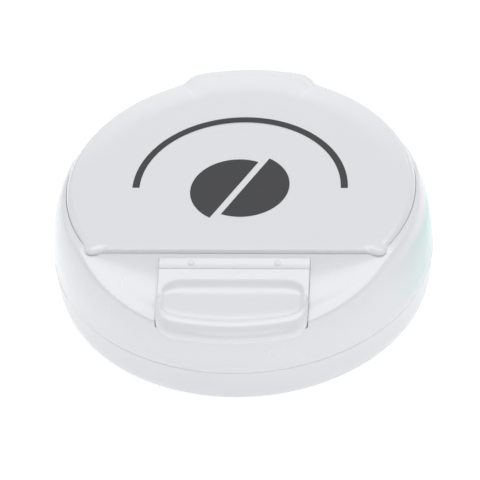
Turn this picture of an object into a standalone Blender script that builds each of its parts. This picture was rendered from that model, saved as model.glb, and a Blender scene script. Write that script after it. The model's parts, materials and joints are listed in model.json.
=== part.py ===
"""A round pocket pill splitter, closed: a base cup, a body with a sloping front, a D-shaped lid that
carries the blade on a rear hinge, and a thumb flap over the storage port at the front.

+X is to the right, -Y is the front, +Z is up. The origin is the centre of the flat underside.
Lengths are written in millimetres and MM turns them into metres.
"""

import math

import bmesh
import bpy
from mathutils import Matrix, Vector

MM = 0.001
SEGMENTS = 64
GAP = 0.3  # between pieces that touch or nearly touch on the real object
BEYOND = 60.0  # further out than any piece reaches, for cutters that run right through
ABOVE = 30.0  # higher than any piece reaches

# Outer form
OUTER_R = 35.0
SEAM_Z = 7.4  # where the base cup meets the body
SHOULDER_R = 34.8
SHOULDER_Z = 9.1
RIM_R = 31.9
RIM_Z = 20.4
WALL = 1.7
CUP_INNER_R = 31.4
CUP_FOOT = ((34.6, 4.5), (34.3, 2.0), (33.8, 0.8), (33.2, 0.2), (32.4, 0.0))  # radius, height

# Front slope of the body
CHORD_Y = -17.4
SLOPE_TOP_Z = 20.1
SLOPE = math.radians(14.7)
ROOF = 2.2

# Floor levels
FLOOR = 1.5
SPIGOT_Z = 9.0
DECK_Z = SPIGOT_Z + GAP
DECK = 1.4
CHAMBER_Z = DECK_Z + DECK  # floor of the cutting chamber
LAND_Z = 18.7  # the ledge that the lid rests on
LAND = 1.2

# Lid
LID_Y = 1.4  # the lid's circle lies a little behind the middle of the case
LID_R = 31.9
LID_EDGE_Z = 20.2
LID_REAR_Z = 22.6
LID_FRONT_Z = 20.9
LID_CORNER = 2.5
RIM_END_Y = 10.0  # behind this the body has no rim, and the lid reaches its outer wall
OPENING_R = 30.2
OPENING_FRONT_Y = -16.0
OPENING_REAR_Y = 25.9
LID_CEILING_Z = 19.6
SKIRT_Z = 16.6
SKIRT = 1.4
SKIRT_GAP = 0.4

# Rear hinge of the lid
HINGE_Y = 31.2
HINGE_Z = 17.6
BARREL_R = 3.2
BARREL_HALF = 10.8
BARREL_GAP = 0.4
BULGE_R = 36.2  # back of the bulge over the hinge, an arc about the centre of the case
BULGE_HALF = 13.4  # half its width at BULGE_SIDE_Y, where its sides start to draw in
BULGE_SIDE_Y = 30.0
BULGE_TAPER = math.radians(23)
BULGE_TOP_Z = 22.3
BULGE_EDGE = 1.8
BULGE_SWEEP_R = 6.4  # room for the bulge's rounded edge, which turns 6.1 from the hinge line
BULGE_SWEEP_Y = HINGE_Y - 1.6
EAR_R = 1.9
EAR_IN = 6.4
EAR_OUT = 9.2
EAR_GAP = 0.4
WEB_UNDER = 1.2  # the ear's web, measured down and up from the hinge line
WEB_OVER = 0.8
PIN_R = 0.9
PIN_HALF = 10.6
PIN_HOLE_R = 1.2
HINGE_BLOCK_HALF = 15.2
HINGE_WALL_Y = 26.2  # front face of the wall that carries the ears

# Front flap
FLAP_HALF = 13.5
POCKET_HALF = FLAP_HALF + GAP
POCKET_Y = -18.0
POCKET_DEPTH = 1.0
STRIP_END_Y = -20.2
FLAP_AXIS_Y = -20.35
FLAP_FRONT_R = 36.0
FLAP_LIP_TOP_Z = 18.3
FLAP_LIP_BOTTOM_Z = 15.1
FLAP_CORNER = 6.0
FLAP_CLEAR = 0.25  # between the flap's underside and the floor of its pocket
DISH_SIZE = (11.8, 5.0, 1.6)  # half axes of the thumb dish
DISH_MIDDLE = (0.0, -28.0, 19.6)
STAKE_X = 7.7
STAKE_R = 0.6
STAKE_HOLE_R = 0.85
STAKE_HEAD_R = 1.0
STAKE_FOOT = -1.5  # the stake's length, measured square to the slope
STAKE_TOP = 0.5
STAKE_HEAD = (0.15, 0.4)
PORT_HALF = 9.0
PORT_REAR_Y = -22.0
PORT_FRONT_Y = -31.2

# Blade and its holder, on the underside of the lid
BLADE_FRONT_Y = -11.0
BLADE_REAR_Y = 19.0
BLADE_EDGE_Z = 12.9
BLADE_TOP_Z = 18.8
BLADE_T = 0.3
BLADE_GRIND = 1.2  # height of the ground bevel above the edge
BLADE_EDGE_HALF = 0.03
HOLDER_T = 1.5
HOLDER_GAP = 0.2
HOLDER_Z = 15.6
HOLDER_FRONT_Y = -12.0
HOLDER_REAR_Y = 20.0
RIVET_YS = (-4.0, 12.0)
RIVET_Z = 17.2
RIVET_R = 0.8
RIVET_HOLE_R = 1.1
RIVET_PROUD = 0.3
LINER_Z = 18.1
LINER_SLOT_GAP = 0.8

# Pill seat
SEAT_HALF = 13.0
SEAT_FRONT_Y = -9.0
SEAT_REAR_Y = 20.5
SEAT_FLOOR = 1.2
SEAT_Z = CHAMBER_Z + GAP
SEAT_WALL_Z = 16.6
APEX_Y = 7.0
V_HALF_ANGLE = math.radians(35)
ARM_LENGTH = 17.0
ARM_T = 2.2
BRIDGE_HALF = 6.0
BRIDGE_DEPTH = 5.0
BRIDGE_Z = 15.2
ROOM_FOR_HOLDER = 1.0
BLADE_SLOT_HALF = 0.6
PAD_T = 1.0
PAD_START = 5.8  # along the arm, from the apex, clear of the blade's holder
PAD_END = 15.8
PAD_DROP = 0.4  # from the top of the arm down to the top of the pad
MAT_HALF = 1.6
MAT_T = 0.6
MAT_BED = 0.4  # thickness of the seat's floor left under the mat
MAT_REAR_Y = APEX_Y - 2.0


# ---------------------------------------------------------------- scene and materials


def clear_scene():
    for obj in list(bpy.data.objects):
        bpy.data.objects.remove(obj)


def collection(name):
    made = bpy.data.collections.new(name)
    bpy.context.scene.collection.children.link(made)
    return made


def material(name, colour, roughness, metallic=0.0):
    made = bpy.data.materials.new(name)
    made.use_nodes = True
    shader = made.node_tree.nodes["Principled BSDF"]
    shader.inputs["Base Color"].default_value = (*colour, 1.0)
    shader.inputs["Roughness"].default_value = roughness
    shader.inputs["Metallic"].default_value = metallic
    return made


clear_scene()
PARTS = collection("pill_splitter")
CUTTERS = collection("cutters")

WHITE = material("white_plastic", (0.86, 0.86, 0.87), 0.28)
INSERT = material("insert_plastic", (0.62, 0.80, 0.79), 0.4)
RUBBER = material("grip_rubber", (0.30, 0.52, 0.52), 0.8)
STEEL = material("blade_steel", (0.72, 0.72, 0.74), 0.2, 1.0)


# ---------------------------------------------------------------- modelling helpers


def place(name, bm, owner, finish):
    """Turns a bmesh in millimetres into an object in metres."""
    bmesh.ops.scale(bm, vec=(MM, MM, MM), verts=bm.verts)
    mesh = bpy.data.meshes.new(name)
    bm.to_mesh(mesh)
    bm.free()
    obj = bpy.data.objects.new(name, mesh)
    owner.objects.link(obj)
    if finish:
        mesh.materials.append(finish)
        mesh.shade_smooth()
        mesh.set_sharp_from_angle(angle=math.radians(35))
    if owner is CUTTERS:
        obj.hide_render = True
        obj.display_type = "WIRE"
    return obj


def part(name, bm, finish):
    return place(name, bm, PARTS, finish)


def cutter(name, bm):
    return place(name, bm, CUTTERS, None)


def box_mesh(low, high):
    bm = bmesh.new()
    bmesh.ops.create_cube(bm, size=1.0)
    size = [b - a for a, b in zip(low, high)]
    middle = [(a + b) / 2 for a, b in zip(low, high)]
    bmesh.ops.scale(bm, vec=size, verts=bm.verts)
    bmesh.ops.translate(bm, vec=middle, verts=bm.verts)
    return bm


def rod_mesh(radius, start, end, segments=32):
    """A cylinder between two points."""
    start, end = Vector(start), Vector(end)
    axis = end - start
    turn = Vector((0, 0, 1)).rotation_difference(axis).to_matrix().to_4x4()
    bm = bmesh.new()
    bmesh.ops.create_cone(
        bm,
        cap_ends=True,
        segments=segments,
        radius1=radius,
        radius2=radius,
        depth=axis.length,
        matrix=Matrix.Translation((start + end) / 2) @ turn,
    )
    return bm


def plate_mesh(radius, low_y, high_y, z_low, z_high, corner=0.0, middle_y=0.0):
    """A round plate, cut off square at low_y in front and at high_y behind, with rounded corners."""
    bm = bmesh.new()
    bmesh.ops.create_circle(bm, cap_ends=True, radius=radius, segments=SEGMENTS)
    bmesh.ops.translate(bm, vec=(0, middle_y, z_low), verts=bm.verts)
    for level, outwards in ((low_y, -1), (high_y, 1)):
        if abs(level - middle_y) < radius:
            bmesh.ops.bisect_plane(
                bm,
                geom=bm.verts[:] + bm.edges[:] + bm.faces[:],
                plane_co=(0, level, z_low),
                plane_no=(0, outwards, 0),
                clear_outer=True,
            )
    if corner:
        tips = [v for v in bm.verts if abs(v.co.y - low_y) < 1e-4]
        bmesh.ops.bevel(
            bm,
            geom=tips,
            offset=corner,
            offset_type="OFFSET",
            segments=4,
            profile=0.5,
            affect="VERTICES",
            material=-1,
        )
    raised = bmesh.ops.extrude_face_region(bm, geom=bm.faces[:])
    top = [v for v in raised["geom"] if isinstance(v, bmesh.types.BMVert)]
    bmesh.ops.translate(bm, vec=(0, 0, z_high - z_low), verts=top)
    bmesh.ops.recalc_face_normals(bm, faces=bm.faces)
    return bm


def trim(bm, point, outward):
    """Cuts away whatever lies beyond a plane, and closes the cut."""
    trimmed = bmesh.ops.bisect_plane(
        bm,
        geom=bm.verts[:] + bm.edges[:] + bm.faces[:],
        plane_co=point,
        plane_no=outward,
        clear_outer=True,
    )
    rim = [e for e in trimmed["geom_cut"] if isinstance(e, bmesh.types.BMEdge)]
    bmesh.ops.holes_fill(bm, edges=rim)
    bmesh.ops.recalc_face_normals(bm, faces=bm.faces)


def hinge_rod(radius, low_x, high_x, segments=40):
    """A cylinder along the lid's hinge line."""
    return rod_mesh(radius, (low_x, HINGE_Y, HINGE_Z), (high_x, HINGE_Y, HINGE_Z), segments)


def tilted(bm, y, z, angle):
    """Turns a mesh by angle about X, so that its front sinks, and moves its origin to (0, y, z)."""
    lay = Matrix.Translation((0, y, z)) @ Matrix.Rotation(angle, 4, "X")
    bmesh.ops.transform(bm, matrix=lay, verts=bm.verts)
    return bm


def on_slope(bm):
    """Lays a mesh on the front slope: its y runs up the slope from the chord, its z square to it."""
    return tilted(bm, CHORD_Y, SLOPE_TOP_Z, SLOPE)


def run(y):
    """Distance along the slope, from the chord, of the point on it that has this y."""
    return (y - CHORD_Y) / math.cos(SLOPE)


def turned(name, profile, owner, finish):
    """A solid of revolution from an open (radius, z) profile whose two ends lie on the axis."""
    bm = bmesh.new()
    points = [bm.verts.new((r, 0, z)) for r, z in profile]
    for a, b in zip(points, points[1:]):
        bm.edges.new((a, b))
    obj = place(name, bm, owner, None)
    if finish:
        obj.data.materials.append(finish)
    screw = obj.modifiers.new("turn", "SCREW")
    screw.steps = SEGMENTS
    screw.render_steps = SEGMENTS
    screw.use_merge_vertices = True
    screw.merge_threshold = 0.00001
    screw.use_smooth_shade = True
    return obj


def combine(obj, other, operation, solver="EXACT"):
    modifier = obj.modifiers.new(other.name, "BOOLEAN")
    modifier.operation = operation
    modifier.object = other
    modifier.solver = solver


def cut(obj, *others):
    for other in others:
        combine(obj, other, "DIFFERENCE")


def join(obj, *others):
    for other in others:
        combine(obj, other, "UNION")


def slope_z(y):
    """Height of the body's front slope at y."""
    return SLOPE_TOP_Z + (y - CHORD_Y) * math.tan(SLOPE)


def above_slope(name, depth, rear, half_width):
    """A cutter over the front slope, sunk in it by depth, in front of rear (along the slope)."""
    low = (-half_width, -BEYOND, -depth)
    return cutter(name, on_slope(box_mesh(low, (half_width, rear, ABOVE))))


def shoulder(inset, z_top, steps=8):
    """(radius, z) points from the rim down to the wall, along a quarter of an ellipse."""
    points = []
    for i in range(steps + 1):
        angle = math.pi / 2 * (1 - i / steps)
        radius = RIM_R - inset + (SHOULDER_R - RIM_R) * math.cos(angle)
        points.append((radius, SHOULDER_Z + (z_top - SHOULDER_Z) * math.sin(angle)))
    return points


# ---------------------------------------------------------------- base cup


def make_base_cup():
    spigot_r = SHOULDER_R - WALL - GAP
    fillet = 0.6
    profile = [
        (0, FLOOR),
        (CUP_INNER_R - fillet, FLOOR),
        (CUP_INNER_R, FLOOR + fillet),
        (CUP_INNER_R, SPIGOT_Z),
        (spigot_r, SPIGOT_Z),
        (spigot_r, SEAM_Z),
        (SHOULDER_R, SEAM_Z),
        *CUP_FOOT,
        (0, 0),
    ]
    turned("base_cup", profile, PARTS, WHITE)


# ---------------------------------------------------------------- body


def make_cavity():
    """The inside of the body, as the solid that is taken out of it."""
    ceiling = LAND_Z - LAND
    inside = [p for p in shoulder(WALL, LAND_Z) if p[1] < ceiling - 0.2]
    below = SEAM_Z - 2
    profile = [
        (0, ceiling),
        (inside[0][0] - 0.5, ceiling),
        *inside,
        (OUTER_R - WALL, SEAM_Z),
        (OUTER_R - WALL, below),
        (0, below),
    ]
    cavity = turned("body_cavity", profile, CUTTERS, None)
    over_deck = CHAMBER_Z + GAP
    partition = cutter(
        "partition",
        box_mesh((-BEYOND, CHORD_Y, over_deck), (BEYOND, OPENING_FRONT_Y - 0.2, ABOVE)),
    )
    block = cutter(
        "hinge_block",
        box_mesh(
            (-HINGE_BLOCK_HALF, HINGE_WALL_Y, over_deck),
            (HINGE_BLOCK_HALF, BEYOND, ABOVE),
        ),
    )
    cut(cavity, above_slope("roof", ROOF, ABOVE, BEYOND), partition, block)
    return cavity


def make_ear(side):
    """One of the body's two hinge ears, on a web that reaches forward to the hinge block."""
    inner, outer = sorted((side * EAR_IN, side * EAR_OUT))
    ear = cutter(f"ear_{side}", hinge_rod(EAR_R, inner, outer, 32))
    inset = 0.01  # keeps the web's side faces off the planes of the ear's ends
    web = cutter(
        f"ear_web_{side}",
        box_mesh(
            (inner + inset, HINGE_WALL_Y + GAP, HINGE_Z - WEB_UNDER),
            (outer - inset, HINGE_Y, HINGE_Z + WEB_OVER),
        ),
    )
    join(ear, web)
    return ear


def stake_rod(radius, x, low, high):
    """A rod square to the slope, through the middle of the hinge strip."""
    middle = run((POCKET_Y + STRIP_END_Y) / 2)
    return on_slope(rod_mesh(radius, (x, middle, low), (x, middle, high), 20))


def make_hinge_notch():
    """Room in the rear of the body for the lid's barrel, and for its bulge as the lid opens."""
    barrel_half = BARREL_HALF + BARREL_GAP
    barrel_room = hinge_rod(BARREL_R + BARREL_GAP, -barrel_half, barrel_half)
    bulge_half = BULGE_HALF + BARREL_GAP
    bulge_room = hinge_rod(BULGE_SWEEP_R, -bulge_half, bulge_half)
    trim(bulge_room, (0, BULGE_SWEEP_Y, HINGE_Z), (0, -1, 0))
    notch = cutter("hinge_notch", barrel_room)
    join(notch, cutter("bulge_notch", bulge_room))
    return notch


def make_body_shell(pin_bore):
    profile = [
        (0, RIM_Z),
        *shoulder(0, RIM_Z),
        (OUTER_R, SEAM_Z + GAP),
        (0, SEAM_Z + GAP),
    ]
    body = turned("body_shell", profile, PARTS, WHITE)
    rebate = cutter(
        "lid_rebate",
        plate_mesh(LID_R + GAP, CHORD_Y, BEYOND, LAND_Z, ABOVE, LID_CORNER, LID_Y),
    )
    rear_rim = cutter(
        "rear_rim", box_mesh((-BEYOND, RIM_END_Y, LAND_Z), (BEYOND, BEYOND, ABOVE))
    )
    through = CHAMBER_Z + 1
    opening = cutter(
        "chamber_opening",
        plate_mesh(OPENING_R, OPENING_FRONT_Y, OPENING_REAR_Y, through, ABOVE),
    )
    pocket = above_slope("flap_pocket", POCKET_DEPTH, run(POCKET_Y), POCKET_HALF)
    port = cutter(
        "storage_port",
        box_mesh((-PORT_HALF, PORT_FRONT_Y, through), (PORT_HALF, PORT_REAR_Y, ABOVE)),
    )
    front_slope = above_slope("front_slope", 0.0, ABOVE, BEYOND)
    taken = [front_slope, make_cavity(), rebate, rear_rim, opening, pocket, port]
    taken.append(make_hinge_notch())
    for side in (-1, 1):
        hole = stake_rod(STAKE_HOLE_R, side * STAKE_X, -ROOF - 1, 2)
        taken.append(cutter(f"stake_hole_{side}", hole))
    # The EXACT solver leaves open edges on this piece, so it takes MANIFOLD.
    for other in taken:
        combine(body, other, "DIFFERENCE", "MANIFOLD")
    for side in (-1, 1):
        combine(body, make_ear(side), "UNION", "MANIFOLD")
    combine(body, pin_bore, "DIFFERENCE", "MANIFOLD")


# ---------------------------------------------------------------- inside the body


def make_cutter_deck():
    radius = OUTER_R - WALL - 2 * GAP
    deck = plate_mesh(radius, CHORD_Y - 0.2, BEYOND, DECK_Z, CHAMBER_Z)
    part("cutter_deck", deck, INSERT)


def along_arm(bm, side):
    """Turns a mesh drawn along -Y from the apex onto one arm of the V."""
    turn = Matrix.Rotation(V_HALF_ANGLE, 4, "Z")
    bmesh.ops.transform(bm, matrix=Matrix.Translation((0, APEX_Y, 0)) @ turn, verts=bm.verts)
    if side < 0:
        bmesh.ops.scale(bm, vec=(-1, 1, 1), verts=bm.verts)
        bmesh.ops.reverse_faces(bm, faces=bm.faces)
    return bm


def seat_arm(side):
    """One wall of the V that holds the pill, from the apex towards the front."""
    arm = box_mesh((0, -ARM_LENGTH, SEAT_Z + SEAT_FLOOR / 4), (ARM_T, 0, SEAT_WALL_Z))
    return cutter(f"seat_arm_{side}", along_arm(arm, side))


def make_pill_seat():
    floor = box_mesh(
        (-SEAT_HALF, SEAT_FRONT_Y, SEAT_Z), (SEAT_HALF, SEAT_REAR_Y, SEAT_Z + SEAT_FLOOR)
    )
    seat = part("pill_seat", floor, INSERT)
    bridge = cutter(
        "seat_bridge",
        box_mesh(
            (-BRIDGE_HALF, APEX_Y - 1, SEAT_Z + SEAT_FLOOR / 3),
            (BRIDGE_HALF, APEX_Y + BRIDGE_DEPTH, BRIDGE_Z),
        ),
    )
    room = HOLDER_T + ROOM_FOR_HOLDER
    holder_room = cutter(
        "holder_room",
        box_mesh((-room, -BEYOND, BRIDGE_Z - 0.1), (room, BEYOND, ABOVE)),
    )
    blade_slot = cutter(
        "blade_slot",
        box_mesh(
            (-BLADE_SLOT_HALF, HOLDER_FRONT_Y - 2, SEAT_Z + 0.5),
            (BLADE_SLOT_HALF, BLADE_REAR_Y + 3 * GAP, ABOVE),
        ),
    )
    bed_half = MAT_HALF + GAP
    bed_top = SEAT_Z + MAT_BED + MAT_T + 3 * GAP
    mat_bed = cutter(
        "mat_bed",
        box_mesh((-bed_half, -BEYOND, SEAT_Z + MAT_BED), (bed_half, MAT_REAR_Y + GAP, bed_top)),
    )
    nest = cutter("v_nest", v_nest_mesh())
    join(seat, bridge)
    cut(seat, nest)
    join(seat, seat_arm(-1), seat_arm(1))
    cut(seat, holder_room, blade_slot, mat_bed)


def v_nest_mesh():
    """The wedge of space between the two arms, above the seat's floor."""
    bm = box_mesh((-BEYOND, -BEYOND, SEAT_Z + SEAT_FLOOR), (BEYOND, APEX_Y, ABOVE))
    for side in (-1, 1):
        across = (side * math.cos(V_HALF_ANGLE), math.sin(V_HALF_ANGLE), 0)
        trim(bm, (0, APEX_Y, 0), across)
    return bm


def make_grip_pad(name, side):
    """A soft strip along the inner face of one arm."""
    low_z = SEAT_Z + SEAT_FLOOR + GAP
    pad = box_mesh(
        (-PAD_T - GAP, -PAD_END, low_z), (-GAP, -PAD_START, SEAT_WALL_Z - PAD_DROP)
    )
    part(name, along_arm(pad, side), RUBBER)


def make_cutting_mat():
    """The soft strip that the blade's edge comes down on."""
    low_z = SEAT_Z + MAT_BED + GAP
    front = SEAT_FRONT_Y + 0.5
    mat = box_mesh((-MAT_HALF, front, low_z), (MAT_HALF, MAT_REAR_Y, low_z + MAT_T))
    part("cutting_mat", mat, RUBBER)


# ---------------------------------------------------------------- lid


def lid_top_z(y):
    """Height of the lid's top, which falls evenly from the hinge to the straight front edge."""
    share = (y - CHORD_Y) / (LID_Y + LID_R - CHORD_Y)
    return LID_FRONT_Z + share * (LID_REAR_Z - LID_FRONT_Z)


def round_top(bm, width, above):
    """Rounds the rim of a mesh's top, which is every edge higher than above."""
    rim = [e for e in bm.edges if all(v.co.z > above for v in e.verts)]
    bmesh.ops.bevel(
        bm,
        geom=rim,
        offset=width,
        offset_type="OFFSET",
        segments=3,
        profile=0.5,
        affect="EDGES",
        material=-1,
    )


def lid_plate_mesh():
    """The D-shaped plate, with a rounded upper edge and a top that falls gently to the front."""
    edge = LID_REAR_Z - LID_EDGE_Z
    front = CHORD_Y + GAP
    low = LAND_Z + GAP
    bm = plate_mesh(LID_R, front, BEYOND, low, LID_REAR_Z, LID_CORNER, LID_Y)
    round_top(bm, edge, LID_EDGE_Z)
    for v in bm.verts:
        if v.co.z > LID_EDGE_Z:
            share = (v.co.z - LID_EDGE_Z) / edge
            v.co.z = LID_EDGE_Z + share * (lid_top_z(v.co.y) - LID_EDGE_Z)
    return bm


def ear_slot(side):
    """The room that an ear and its web need inside the barrel, over the whole swing of the lid."""
    inner, outer = sorted((side * (EAR_IN - EAR_GAP), side * (EAR_OUT + EAR_GAP)))
    slot = cutter(f"ear_slot_{side}", hinge_rod(EAR_R + EAR_GAP, inner, outer, 32))
    outset = 0.01  # keeps the three cutters' side faces off each other's planes
    front = cutter(
        f"ear_slot_front_{side}",
        box_mesh(
            (inner - outset, HINGE_WALL_Y + 0.8, CHAMBER_Z),
            (outer + outset, HINGE_Y + 0.1, HINGE_Z + WEB_OVER + 0.5),
        ),
    )
    under = cutter(
        f"ear_slot_under_{side}",
        box_mesh(
            (inner - 2 * outset, HINGE_Y - 0.1, CHAMBER_Z - 0.1),
            (outer + 2 * outset, BEYOND, HINGE_Z - WEB_UNDER - GAP),
        ),
    )
    join(slot, front, under)
    return slot


def make_bulge():
    """The bulge that carries the lid's top back over the hinge: an arc with drawn-in sides."""
    bm = plate_mesh(BULGE_R, OPENING_REAR_Y + 0.9, BEYOND, HINGE_Z, BULGE_TOP_Z)
    for side in (-1, 1):
        outward = (side * math.cos(BULGE_TAPER), math.sin(BULGE_TAPER), 0)
        trim(bm, (side * BULGE_HALF, BULGE_SIDE_Y, 0), outward)
    round_top(bm, BULGE_EDGE, BULGE_TOP_Z - 0.1)
    bulge = cutter("lid_bulge", bm)
    under = box_mesh((-BEYOND, -BEYOND, 0), (BEYOND, HINGE_Y, LAND_Z + 2 * GAP))
    cut(bulge, cutter("under_bulge", under))
    return bulge


def make_lid_shell(pin_bore):
    lid = part("lid_shell", lid_plate_mesh(), WHITE)
    skirt_r = OPENING_R - SKIRT_GAP
    skirt_front = OPENING_FRONT_Y + SKIRT_GAP
    skirt_rear = OPENING_REAR_Y - SKIRT_GAP
    skirt = cutter(
        "lid_skirt", plate_mesh(skirt_r, skirt_front, skirt_rear, SKIRT_Z, LAND_Z + 1)
    )
    hollow = cutter(
        "lid_hollow",
        plate_mesh(
            skirt_r - SKIRT, skirt_front + SKIRT, skirt_rear - SKIRT, 10, LID_CEILING_Z
        ),
    )
    barrel = cutter("lid_barrel", hinge_rod(BARREL_R, -BARREL_HALF, BARREL_HALF))
    join(lid, skirt, make_bulge(), barrel)
    cut(lid, hollow, ear_slot(-1), ear_slot(1), pin_bore)


def make_lid_liner():
    """The inner panel of the lid, with a slot that the blade holder passes through."""
    inset = SKIRT_GAP + SKIRT + GAP
    front = OPENING_FRONT_Y + inset
    rear = OPENING_REAR_Y - inset
    plate = plate_mesh(OPENING_R - inset, front, rear, LINER_Z, LID_CEILING_Z - GAP)
    liner = part("lid_liner", plate, WHITE)
    half = HOLDER_T + LINER_SLOT_GAP
    slot = cutter(
        "liner_slot",
        box_mesh((-half, HOLDER_FRONT_Y - GAP, 0), (half, HOLDER_REAR_Y + GAP, ABOVE)),
    )
    cut(liner, slot)


def rivet_holes(obj):
    for i, y in enumerate(RIVET_YS):
        hole = rod_mesh(RIVET_HOLE_R, (-BEYOND, y, RIVET_Z), (BEYOND, y, RIVET_Z), 20)
        cut(obj, cutter(f"{obj.name}_rivet_hole_{i}", hole))


def make_blade():
    """A straight steel blade whose lower millimetre tapers to the cutting edge."""
    half = BLADE_T / 2
    grind_z = BLADE_EDGE_Z + BLADE_GRIND
    bm = box_mesh((-half, BLADE_FRONT_Y, grind_z), (half, BLADE_REAR_Y, BLADE_TOP_Z))
    under = [f for f in bm.faces if f.normal.z < -0.9]
    grown = bmesh.ops.extrude_face_region(bm, geom=under)
    bmesh.ops.delete(bm, geom=under, context="FACES")
    for v in grown["geom"]:
        if isinstance(v, bmesh.types.BMVert):
            v.co = (math.copysign(BLADE_EDGE_HALF, v.co.x), v.co.y, BLADE_EDGE_Z)
    bmesh.ops.recalc_face_normals(bm, faces=bm.faces)
    rivet_holes(part("blade", bm, STEEL))


def make_holder_half(name, side):
    """One of the two plastic cheeks that grip the blade."""
    near = BLADE_T / 2 + HOLDER_GAP
    inner, outer = sorted((side * near, side * (near + HOLDER_T)))
    cheek = box_mesh(
        (inner, HOLDER_FRONT_Y, HOLDER_Z), (outer, HOLDER_REAR_Y, LID_CEILING_Z - GAP)
    )
    rivet_holes(part(name, cheek, INSERT))


def make_rivets():
    reach = HOLDER_T + RIVET_PROUD
    for name, y in zip(("blade_rivet_front", "blade_rivet_rear"), RIVET_YS):
        part(name, rod_mesh(RIVET_R, (-reach, y, RIVET_Z), (reach, y, RIVET_Z), 20), STEEL)


# ---------------------------------------------------------------- front flap


def make_flap_strip():
    """The fixed strip that the flap bends from."""
    strip_box = box_mesh(
        (-FLAP_HALF, run(STRIP_END_Y), -POCKET_DEPTH + 0.2), (FLAP_HALF, run(POCKET_Y - 0.2), 0)
    )
    strip = part("flap_hinge_strip", on_slope(strip_box), WHITE)
    for side in (-1, 1):
        hole = stake_rod(STAKE_HOLE_R, side * STAKE_X, -4, 2)
        cut(strip, cutter(f"strip_hole_{side}", hole))


def make_stake(name, side):
    """A plastic stake: a shank through the strip into the body, under a flat melted head."""
    x = side * STAKE_X
    stake = part(name, stake_rod(STAKE_R, x, STAKE_FOOT, STAKE_TOP), WHITE)
    head = cutter(f"stake_head_{side}", stake_rod(STAKE_HEAD_R, x, *STAKE_HEAD))
    join(stake, head)


def flap_blank():
    """The flap seen from above, as a tall block: straight sides and a front that follows the wall."""
    low = (-FLAP_HALF, -FLAP_FRONT_R - 0.2, CHAMBER_Z)
    high = (FLAP_HALF, FLAP_AXIS_Y - GAP / 2, ABOVE)
    bm = box_mesh(low, high)
    front_corners = [
        e
        for e in bm.edges
        if abs(e.verts[0].co.z - e.verts[1].co.z) > 1 and e.verts[0].co.y < FLAP_AXIS_Y - 1
    ]
    bmesh.ops.bevel(
        bm,
        geom=front_corners,
        offset=FLAP_CORNER,
        offset_type="OFFSET",
        segments=6,
        profile=0.5,
        affect="EDGES",
        material=-1,
    )
    flap = part("flap", bm, WHITE)
    wall_curve = cutter(
        "flap_front_curve",
        rod_mesh(FLAP_FRONT_R, (0, 0, 0), (0, 0, ABOVE + 5), 2 * SEGMENTS),
    )
    combine(flap, wall_curve, "INTERSECT")
    return flap


def make_flap():
    flap = flap_blank()
    hinge_z = slope_z(FLAP_AXIS_Y)
    top_angle = math.atan2(hinge_z - FLAP_LIP_TOP_Z, FLAP_AXIS_Y + FLAP_FRONT_R)
    over_box = box_mesh((-BEYOND, -BEYOND, 0), (BEYOND, 5, ABOVE))
    over = cutter("flap_over", tilted(over_box, FLAP_AXIS_Y, hinge_z, top_angle))
    depth = POCKET_DEPTH - FLAP_CLEAR
    lip_rear = -(SLOPE_TOP_Z - depth * math.cos(SLOPE) - FLAP_LIP_BOTTOM_Z) / math.sin(SLOPE)
    under_box = box_mesh((-BEYOND, lip_rear, -BEYOND), (BEYOND, 10, -depth))
    under_slope = cutter("flap_under", on_slope(under_box))
    lip_box = box_mesh((-ABOVE, -ABOVE - 10, 0), (ABOVE, 0, FLAP_LIP_BOTTOM_Z))
    under_lip = cutter("flap_under_lip", lip_box)
    dish = bmesh.new()
    bmesh.ops.create_uvsphere(dish, u_segments=24, v_segments=12, radius=1.0)
    bmesh.ops.scale(dish, vec=DISH_SIZE, verts=dish.verts)
    bmesh.ops.translate(dish, vec=DISH_MIDDLE, verts=dish.verts)
    cut(flap, over, under_slope, under_lip, cutter("thumb_dish", dish))


# ---------------------------------------------------------------- assembly


def hang_on(name, y, z, *pieces):
    """Parents pieces, where they are, to an empty on their hinge line."""
    pivot = bpy.data.objects.new(name, None)
    pivot.empty_display_type = "ARROWS"
    pivot.empty_display_size = 0.005
    pivot.location = (0, y * MM, z * MM)
    PARTS.objects.link(pivot)
    for piece in pieces:
        piece.parent = pivot
        piece.matrix_parent_inverse = Matrix.Translation(-pivot.location)


def main():
    pin_bore = cutter("pin_hole", hinge_rod(PIN_HOLE_R, -BULGE_HALF, BULGE_HALF, 24))
    make_base_cup()
    make_body_shell(pin_bore)
    make_cutter_deck()
    make_pill_seat()
    make_grip_pad("grip_pad_left", -1)
    make_grip_pad("grip_pad_right", 1)
    make_cutting_mat()
    part("hinge_pin", hinge_rod(PIN_R, -PIN_HALF, PIN_HALF, 20), STEEL)
    make_lid_shell(pin_bore)
    make_lid_liner()
    make_blade()
    make_holder_half("blade_holder", 1)
    make_holder_half("blade_clamp", -1)
    make_rivets()
    make_flap_strip()
    make_stake("flap_stake_left", -1)
    make_stake("flap_stake_right", 1)
    make_flap()
    lid_pieces = ("lid_shell", "lid_liner", "blade", "blade_holder", "blade_clamp")
    rivets = ("blade_rivet_front", "blade_rivet_rear")
    on_lid = [bpy.data.objects[name] for name in lid_pieces + rivets]
    hang_on("lid_pivot", HINGE_Y, HINGE_Z, *on_lid)
    hang_on("flap_pivot", FLAP_AXIS_Y, slope_z(FLAP_AXIS_Y), bpy.data.objects["flap"])


main()
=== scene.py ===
# %% [markdown]
# # A pocket pill splitter in white plastic
# The working model comes first: its pieces, joints and sizes are already settled, and this lesson
# never moves or resizes them. It gives the moulded pieces their real curves, edges and finishes.
# The part's own sizes are read from that model, so that each new piece fits where the old one was.

# %% Load the working model
import json
import math

import bmesh
import bpy
from mathutils import Matrix, Vector

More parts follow.
